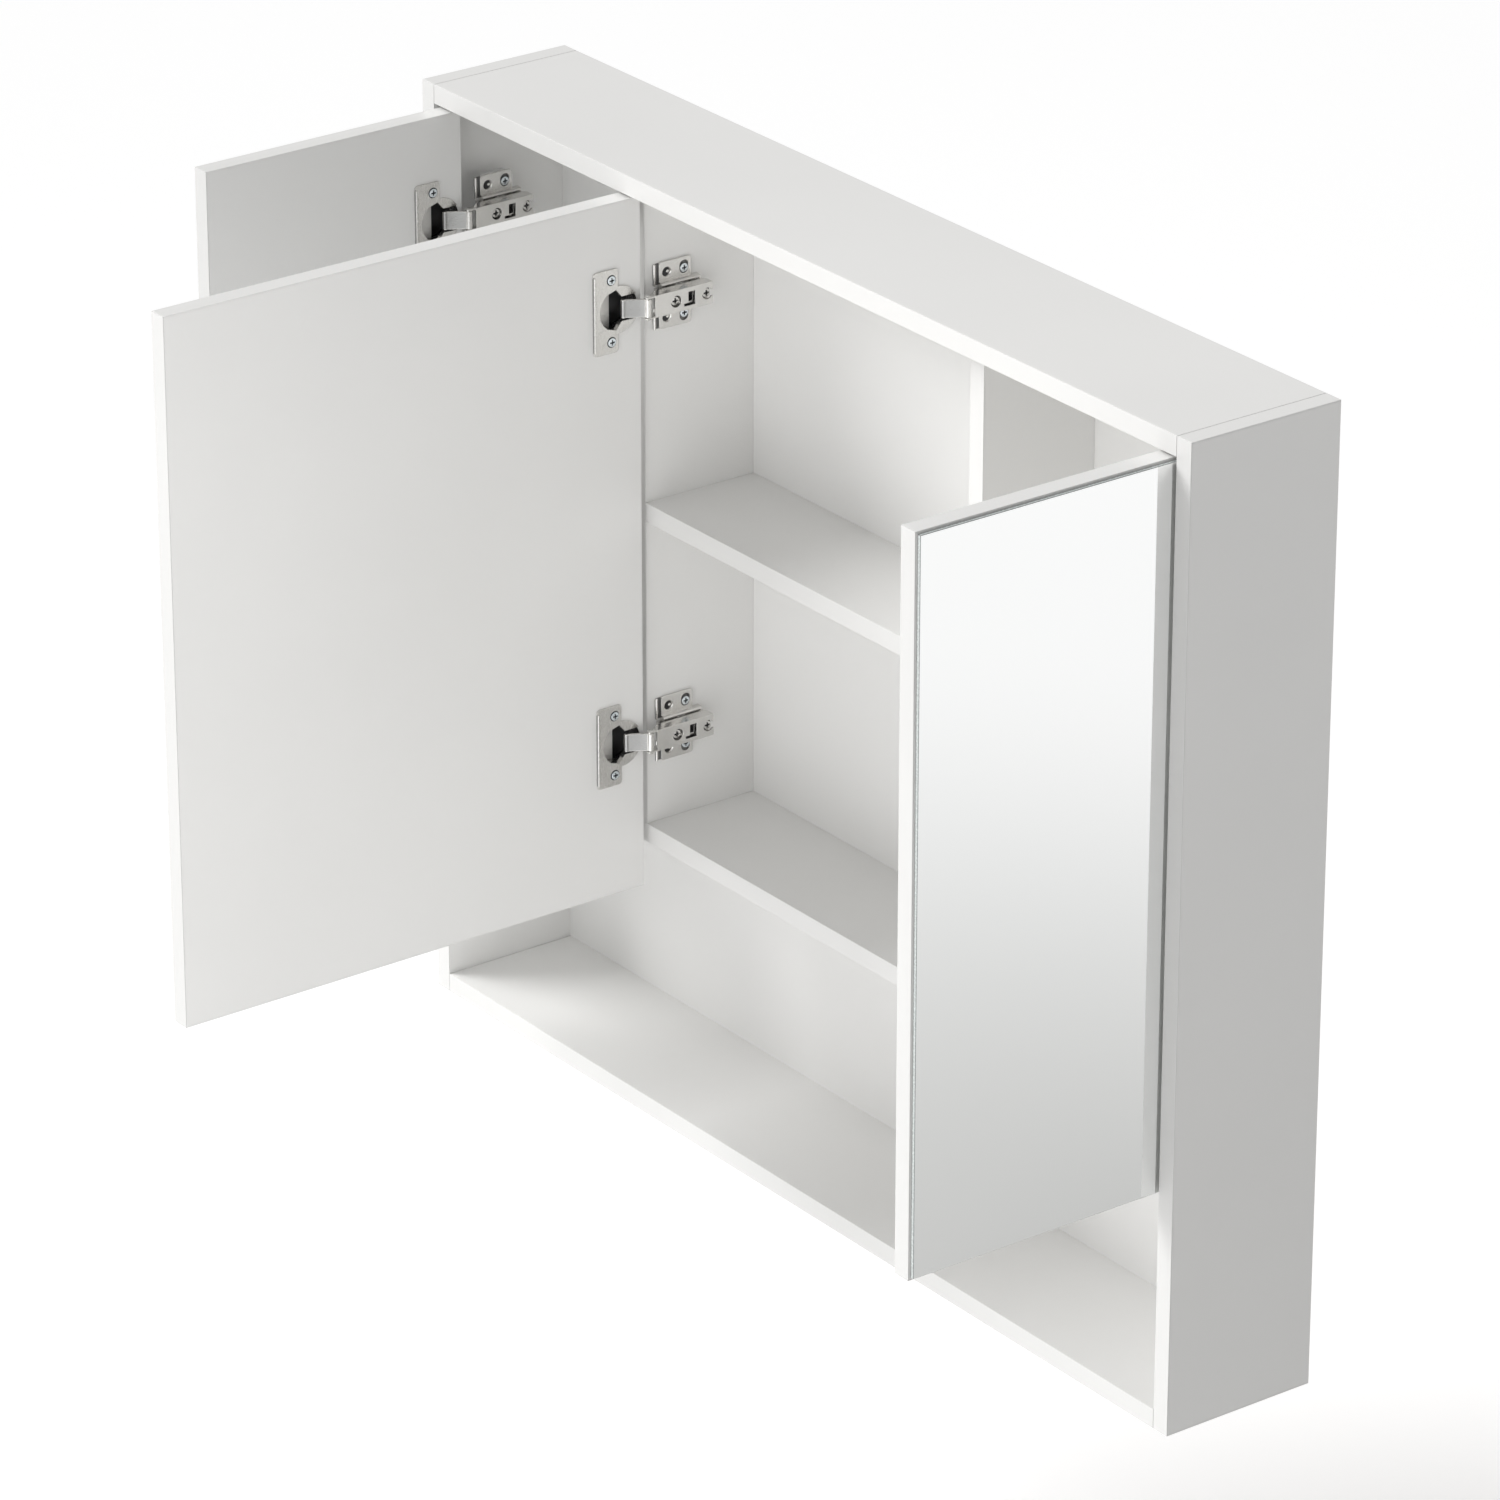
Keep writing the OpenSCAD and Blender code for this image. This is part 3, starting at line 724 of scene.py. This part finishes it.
def add_cup_well(bm, place):
    """The round cup, its floor near black with painted shade, and on it the plain step with two raised
    ribs.
    """
    inner = CUP_R - 1.25
    floor = -CUP_DEEP + CUP_FLOOR
    # Painted shade: the cup's floor takes the near black steel.
    painted(bm, 1, add_lathe, [(0, floor), (inner + 0.1, floor)], place, 48)
    add_lathe(bm, [(inner + 0.1, GAP), (inner, floor), (inner - 0.6, floor),
                   (inner + 0.1, -CUP_DEEP + GAP), (CUP_R, -CUP_DEEP + 1.5), (CUP_R, GAP)],
              place, 64)
    step = arc((0, 0), inner - 0.15, -88, 88, 30)
    step_top = -CUP_DEEP + 3
    painted(bm, 3, add_plate, step, [], -CUP_DEEP + 0.2, step_top, 0.3, place)
    for radius in (8.0, 12.5):
        rib = arc((0, 0), radius + 0.5, -80, 80, 24) + arc((0, 0), radius - 0.5, 80, -80, 24)
        painted(bm, 3, add_plate, [(x + 1.2, y) for x, y in rib], [], step_top - 0.1,
                step_top + 0.4, 0.15, place)


def front_only(bm, index):
    """Leaves the material of that index to faces that look to the front; the rest take the first."""
    for face in bm.faces:
        if face.material_index == index and face.normal.y > -0.8:
            face.material_index = 0


def hinge_cups(door):
    """Pressed cup with an angular mouth, a slot for the link and a flange with a turned-up lip."""
    bm = bmesh.new()
    half = FLANGE_H / 2 - GAP
    right = FLANGE_W - GAP
    screws = [ring((CUP_SCREW[0], s * CUP_SCREW[1]), 4.0, 28) for s in (-1, 1)]
    for place in cup_places(door):
        add_plate(bm, flange_outline(), screws, 0, FLANGE_T, 0.3, place)
        add_plate(bm, collar_outline(), [], -2.4, 0.5, 0.1, place)
        # The lip keeps the darker link steel on faces that look to the front (front_only below): painted
        # shade.
        painted(bm, 2, add_box, (right - LIP_W, -half + 3, 0.1), (right, half - 3, LIP_H), 0.7, place, 3)
        add_cup_well(bm, place)
        for s in (-1, 1):
            seat = place @ Matrix.Translation((CUP_SCREW[0], s * CUP_SCREW[1], 0))
            # The seats round the screw heads are near black: painted shade.
            painted(bm, 1, add_lathe, [(4.1, 0.85), (3.6, 0.3), (1.8, 0.12)], seat, 28)
    front_only(bm, 2)
    node = f"{door}_hinge_cups"
    mats = [M["nickel"], M["shade"], M["link"], M["matt"]]
    finish_piece(f"{node}_pressed", bm, mats, f"{door}_door", [node])


def cup_screws(door):
    bm = bmesh.new()
    for place in cup_places(door):
        for s in (-1, 1):
            spot = Matrix.Translation((CUP_SCREW[0], s * CUP_SCREW[1], FLANGE_T - 0.9))
            add_screw(bm, place @ spot, 1.4, 0.4, 1.6, SCREW_SHORT)
    node = f"{door}_cup_screws"
    finish_piece(f"{node}_cross_head", bm, [M["zinc"], M["shade"]], f"{door}_door", [node])


def link_outline():
    """Side view of the bent link, from the rolled eye at the pivot to the rolled end in the cup."""
    along = Vector((math.cos(LINK_ANGLE), math.sin(LINK_ANGLE)))
    across = Vector((-along.y, along.x))
    half_t = 1.05

    def at(distance, offset):
        point = along * distance + across * offset
        return point.x, point.y

    start = math.degrees(LINK_ANGLE)
    points = arc((0, 0), LINK_EYE_R, start + 28, start + 332, 20)
    points.append(at(LINK_LEN * 0.5, -half_t))
    points += arc(at(LINK_LEN, 0), LINK_END_R, start - 145, start + 145, 16)
    points.append(at(LINK_LEN * 0.5, half_t))
    return points


def hinge_links(door):
    """The link strip, rolled round the pivot pin at one end and round a rivet at the other."""
    bm = bmesh.new()
    tip = Vector((math.cos(LINK_ANGLE), math.sin(LINK_ANGLE))) * LINK_LEN
    for place in mount_places(door):
        pivot = place @ Matrix.Translation((*PIVOT, 0))
        add_plate(bm, link_outline(), [ring((0, 0), PIN_HOLE_R, 24), ring(tip, 0.95, 20)],
                  -LINK_HALF + GAP, LINK_HALF - GAP, 0.7, pivot)
        for s in (-1, 1):
            rivet = pivot @ Matrix.Translation((tip.x, tip.y, 0))
            if s < 0:
                rivet = rivet @ Matrix.Rotation(math.pi, 4, "X")
            add_lathe(bm, [(0, LINK_HALF), (1.3, LINK_HALF - GAP), (1.45, LINK_HALF - 0.25),
                           (0.93, LINK_HALF - 0.3), (0.93, 0), (0, 0)], rivet, 24)
    node = f"{door}_hinge_links"
    pivots = [place @ Vector((*PIVOT, 0)) for place in mount_places(door)]
    for face in bm.faces:
        centre = face.calc_center_median()
        in_eye = min((centre - p).xy.length for p in pivots) < (LINK_EYE_R + 0.15) * MM
        # The eye and the edges turned up or down take the lighter nickel: painted highlight.
        face.material_index = 1 if in_eye or abs(face.normal.z) > 0.3 else 0
    finish_piece(f"{node}_bent", bm, [M["link"], M["nickel"]], f"{door}_links", [node])


def link_pins(door):
    bm = bmesh.new()
    cap = 0.78
    for place in mount_places(door):
        for turn in (0, math.pi):
            spot = place @ Matrix.Translation((*PIVOT, 0)) @ Matrix.Rotation(turn, 4, "X")
            add_lathe(bm, [(0, 0), (1.44, 0), (1.44, ARM_HALF), (2.1, ARM_HALF), (2.15, ARM_HALF + 0.3),
                           (1.7, ARM_HALF + cap), (0, ARM_HALF + cap)], spot, 32)
    node = f"{door}_link_pins"
    finish_piece(f"{node}_riveted", bm, [M["nickel"]], "root", [node])


def web_cuts():
    """Openings in the arm's outer face: adjuster hole and the L-shaped slot."""
    adjuster = ring((ADJUSTER_Y, 0), ARM_HOLE_R)
    y0, y1 = SLOT_Y
    slot = as_hole([(y0 - 4, -5.5), (y1, -5.5), (y1, 5), (y0, 5), (y0, -3.5), (y0 - 4, -3.5)])
    return [adjuster, slot]


def web_outline():
    """Outer face of the arm, with the lock screw's slot open at the rear end."""
    y0, y1 = ARM_Y
    half = ARM_HALF
    notch = 2.5
    corner = 2
    reach = math.degrees(math.asin(notch / ARM_HOLE_R))
    rear = [(y1, -notch), *reversed(arc((LOCK_Y, 0), ARM_HOLE_R, reach, 360 - reach, 20)), (y1, notch)]
    return [(y0, -half), *arc((y1 - corner, -half + corner), corner, 270, 360, 4), *rear,
            *arc((y1 - corner, half - corner), corner, 0, 90, 4), (y0, half)]


def skirt_outline():
    """Side view of the arm: a low skirt that rises to a round ear at the pivot."""
    px, py = PIVOT
    y0, y1 = ARM_Y
    ear = 2.9
    points = [(8.1, y1 - 2), (8.1, y0 + 8), (px - 2.4, py + 1.8)]
    points += arc((px, py), ear, 148, 320, 14)
    points += [(ARM_TOP - 0.3, y0 - 0.5), (ARM_TOP - 0.3, y1 - 0.1), (10, y1 - 0.1)]
    return points


def hinge_arms(door):
    """Folded channel: the outer face and two skirts with ears for the pivot pin."""
    bm = bmesh.new()
    for place in mount_places(door):
        add_plate(bm, web_outline(), web_cuts(), ARM_TOP - 1.5, ARM_TOP - 0.02, 0.3,
                  place @ out_of_mount((0, 0, 0)))
        for s in (-1, 1):
            low, high = sorted((s * (ARM_HALF - SKIRT_T), s * (ARM_HALF - 0.02)))
            add_plate(bm, skirt_outline(), [ring(PIVOT, PIN_HOLE_R, 24)], low, high, 0.25, place)
    node = f"{door}_hinge_arms"
    finish_piece(f"{node}_folded", bm, [M["nickel_long"]], "root", [node])


def arm_screws(door):
    bm = bmesh.new()
    for place in mount_places(door):
        for y in (ADJUSTER_Y, LOCK_Y):
            spot = place @ out_of_mount((RAIL_TOP, y, 0))
            add_screw(bm, spot, 2.2, 0.5, 1.95, 5, 0.7, 0.2)
            # A near black ring round each screw head: painted shade in the gap to the arm's hole.
            painted(bm, 1, add_lathe, [(2.2, 0.12), (4.45, 0.12), (4.45, 0.02)], spot, 32)
    node = f"{door}_arm_screws"
    finish_piece(f"{node}_cross_head", bm, [M["nickel"], M["shade"]], "root", [node])


def add_hat(bm, profile, y0, y1, place):
    """A symmetric rolled profile of (z, h) points, run along the mounting plate."""
    outline = [(z, h) for z, h in profile] + [(-z, h) for z, h in reversed(profile)]
    to_mount = turned((0, 0, 1), (1, 0, 0), (0, 1, 0))
    add_plate(bm, outline, [], y0, y1, 0.2, place @ to_mount)


def add_wing(bm, place, s):
    """One pressed wing, s up or down: an underside in darker steel as painted shade, screw hole, dimple
    with a post, front lip.
    """
    flat = place @ out_of_mount((0, 0, 0))
    y0, y1 = WING_Y
    screw_y, screw_z = PLATE_SCREW
    low, high = sorted(s * z for z in WING_Z)
    near, far = sorted((s * (screw_z - 0.3), s * (screw_z + 2.0)))
    oval = as_hole(arc((screw_y, far), PLATE_HOLE_R, 0, 180, 14)
                   + arc((screw_y, near), PLATE_HOLE_R, 180, 360, 14))
    dimple = ring((DIMPLE_Y, s * screw_z), PLATE_HOLE_R)
    # The wing's faces that look to the front take the darker link steel: painted shade.
    painted(bm, 2, add_plate, rounded((y0 + 5, low), (y1, high), 2.2), [oval, dimple],
            0.1, 1.95, 0.35, flat)
    # A darker steel sheet under the gap behind the lip: painted shade.
    painted(bm, 3, add_plate, rounded((y0 + 1.5, low + 0.6), (y1 - 0.6, high - 0.6), 2.0), [],
            0.05, 0.3, 0.05, flat)
    seat = flat @ Matrix.Translation((DIMPLE_Y, s * screw_z, 0))
    # The dimple's seat is near black: painted shade.
    painted(bm, 1, add_lathe, [(0, 0.34), (3.3, 0.34)], seat, 24)
    add_lathe(bm, [(PLATE_HOLE_R, 1.6), (3.5, 1.3), (3.2, 0.3)], seat, 32)
    post = seat @ Matrix.Translation((1.4, 0, 0))
    add_lathe(bm, [(0, 1.4), (1.0, 1.3), (1.3, 0.9), (1.3, 0.2)], post, 20)
    roll = 1.1
    lip = place @ Matrix.Translation((roll + GAP, y0 + roll + GAP, low + 0.4))
    length = high - low - 0.8
    # The lip's faces that look to the front take the darker link steel: painted shade.
    painted(bm, 2, add_lathe, [(0, 0), (0.7, 0.12), (roll, 0.7), (roll, length - 0.7),
                               (0.7, length - 0.12), (0, length)], lip, 24)


def mounting_plates(door):
    """Winged plate: pressed wings with holes, a rolled front lip, shoulders and the arm's rail."""
    bm = bmesh.new()
    shoulder = [(11, 0.4), (10.9, 3.2), (10.3, 5.2), (9.2, 5.9)]
    rail = [(RAIL_HALF, 0.5), (RAIL_HALF, RAIL_TOP - 0.8), (RAIL_HALF - 0.6, RAIL_TOP - 0.05)]
    slot_floor = [(RAIL_HALF, 0.5), (RAIL_HALF, 8.0)]
    for place in mount_places(door):
        for s in (-1, 1):
            add_wing(bm, place, s)
        add_hat(bm, shoulder, 29, 64, place)
        add_hat(bm, rail, 25.2, 43.5, place)
        add_hat(bm, rail, 50.5, 65.8, place)
        # The slot's floor is near black: painted shade.
        painted(bm, 1, add_hat, slot_floor, 43.6, 50.4, place)
    # Faces of wings and lips that look to the front keep the darker link steel: painted shade.
    front_only(bm, 2)
    node = f"{door}_mounting_plates"
    mats = [M["nickel_long"], M["shade"], M["link"], M["underside_shade"]]
    finish_piece(f"{node}_pressed", bm, mats, "root", [node])


def plate_screws(door):
    """Longer on the side doors, where they pass through the packers."""
    bm = bmesh.new()
    length = SCREW_SHORT if door == "middle" else SCREW_LONG
    for place in mount_places(door):
        for s in (-1, 1):
            spot = place @ out_of_mount((0.6, PLATE_SCREW[0], s * PLATE_SCREW[1]))
            add_screw(bm, spot, 1.5, 0.4, 1.65, length)
    node = f"{door}_plate_screws"
    finish_piece(f"{node}_cross_head", bm, [M["zinc"], M["shade"]], "root", [node])


# ---- the CAD parts that stay ---------------------------------------------------

def keep(node, mat, ease):
    """A CAD node that stays: eased edges and its real material."""
    obj = frame["nodes"][node]
    obj.data.materials.clear()
    obj.data.materials.append(mat)
    weld = obj.modifiers.new("weld", "WELD")
    weld.merge_threshold = 2e-6
    bevel = obj.modifiers.new("ease", "BEVEL")
    bevel.width = ease * MM
    bevel.segments = 2
    bevel.limit_method = "ANGLE"
    bevel.angle_limit = SHARP
    bevel.harden_normals = True


def kept_parts():
    keep("cam_locks", M["cast"], 0.2)
    keep("cam_bolts", M["zinc"], 0.2)
    keep("dowels", M["dowel"], 0.4)
    keep("shelf_pins", M["zinc"], 0.3)
    keep("door_bumpers", M["pad"], 0.4)
    keep("left_hinge_packers", M["packer"], 0.5)
    keep("right_hinge_packers", M["packer"], 0.5)


# ---- studio ------------------------------------------------------------------

# The studio's sizes are in metres.
FLOOR_BELOW = 0.4
FLOOR_HALF = 30
# A painted shadow on the floor, centred here and fading out between the two radii.
PAINTED_SHADOW_SPOT = (1.35, 0.4, 0)
PAINTED_SHADOW_CORE, PAINTED_SHADOW_RIM = 0.05, 1.3


def pale_floor():
    """White, with a faint painted glow, and a painted shadow to the cabinet's right, where its mirror
    looks.
    """
    mat, nodes, links, shader = new_material("pale_floor", (0.98, 0.98, 0.98), 0.9)
    vector = coordinates(nodes, links)
    reach = nodes.new("ShaderNodeVectorMath")
    reach.operation = "DISTANCE"
    reach.inputs[1].default_value = PAINTED_SHADOW_SPOT
    links.new(vector, reach.inputs[0])
    fade = nodes.new("ShaderNodeMapRange")
    fade.interpolation_type = "SMOOTHSTEP"
    fade.inputs["From Min"].default_value = PAINTED_SHADOW_CORE
    fade.inputs["From Max"].default_value = PAINTED_SHADOW_RIM
    links.new(reach.outputs["Value"], fade.inputs["Value"])
    # Darker towards the spot: painted shadow.
    stops = [(0, (0.71, 0.71, 0.7)), (1, (0.98, 0.98, 0.98))]
    tone = ramp(nodes, links, fade.outputs["Result"], stops)
    links.new(tone, shader.inputs["Base Color"])
    # A faint glow in the floor's own tone: painted light that lifts it to white.
    links.new(tone, shader.inputs["Emission Color"])
    shader.inputs["Emission Strength"].default_value = 0.09
    return mat


def studio():
    """Pale floor well below the cabinet, a broad sun from the upper front left, three softboxes."""
    scene = bpy.context.scene
    scene.view_settings.view_transform = "Standard"
    bm = bmesh.new()
    bmesh.ops.create_grid(bm, x_segments=1, y_segments=1, size=FLOOR_HALF)
    mesh = bpy.data.meshes.new("floor")
    bm.to_mesh(mesh)
    bm.free()
    floor = bpy.data.objects.new("floor", mesh)
    floor.location = (0, 0, cad_low.z - FLOOR_BELOW)
    scene.collection.objects.link(floor)
    mesh.materials.append(pale_floor())

    world = bpy.data.worlds.new("studio")
    world.use_nodes = True
    sky = world.node_tree.nodes["Background"]
    sky.inputs["Color"].default_value = (1.0, 1.0, 1.0, 1)
    sky.inputs["Strength"].default_value = 0.36
    scene.world = world
    add_sun("key", towards=(0.62, 0.46, -0.57), energy=2.9, spread_deg=36)
    add_softbox("front", place=(0.6, -2.7, 0.4), target=(0, 0, -0.3), size=(1.6, 1.6), energy=8.0)
    add_softbox("fill", place=(0.3, -1.0, -0.2), target=(-0.3, -0.5, -0.25), size=(0.5, 1.8), energy=3.7)
    add_softbox("top", place=(-0.3, 0.8, 1.9), target=(0, 0, -0.2), size=(1.4, 1.4), energy=6.0)


def add_light(kind, name, towards, energy):
    data = bpy.data.lights.new(name, kind)
    data.energy = energy
    obj = bpy.data.objects.new(name, data)
    obj.rotation_mode = "QUATERNION"
    obj.rotation_quaternion = towards.to_track_quat("-Z", "Y")
    bpy.context.scene.collection.objects.link(obj)
    return obj


def add_sun(name, towards, energy, spread_deg):
    obj = add_light("SUN", name, Vector(towards), energy)
    obj.data.angle = math.radians(spread_deg)


def add_softbox(name, place, target, size, energy):
    """A soft area light, width by height, that the camera doesn't see."""
    obj = add_light("AREA", name, Vector(target) - Vector(place), energy)
    obj.location = place
    obj.data.shape = "RECTANGLE"
    obj.data.size, obj.data.size_y = size
    obj.visible_camera = False


def camera():
    """A long lens, from the right of the front and above."""
    scene = bpy.context.scene
    data = bpy.data.cameras.new("camera")
    data.lens = 187.1
    data.sensor_width = 36
    data.clip_end = 100
    obj = bpy.data.objects.new("camera", data)
    obj.location = (4.115, -3.210, 1.977)
    turn, tilt = math.radians(53.45), math.radians(24.27)
    towards = Vector((-math.sin(turn) * math.cos(tilt), math.cos(turn) * math.cos(tilt), -math.sin(tilt)))
    obj.rotation_mode = "QUATERNION"
    obj.rotation_quaternion = towards.to_track_quat("-Z", "Y")
    scene.collection.objects.link(obj)
    scene.camera = obj


camera()
studio()
carcass()
back_panel()
hanging_rail()
for name in DOORS:
    door(name)
    hinge_cups(name)
    cup_screws(name)
    hinge_links(name)
    link_pins(name)
    hinge_arms(name)
    arm_screws(name)
    mounting_plates(name)
    plate_screws(name)
kept_parts()
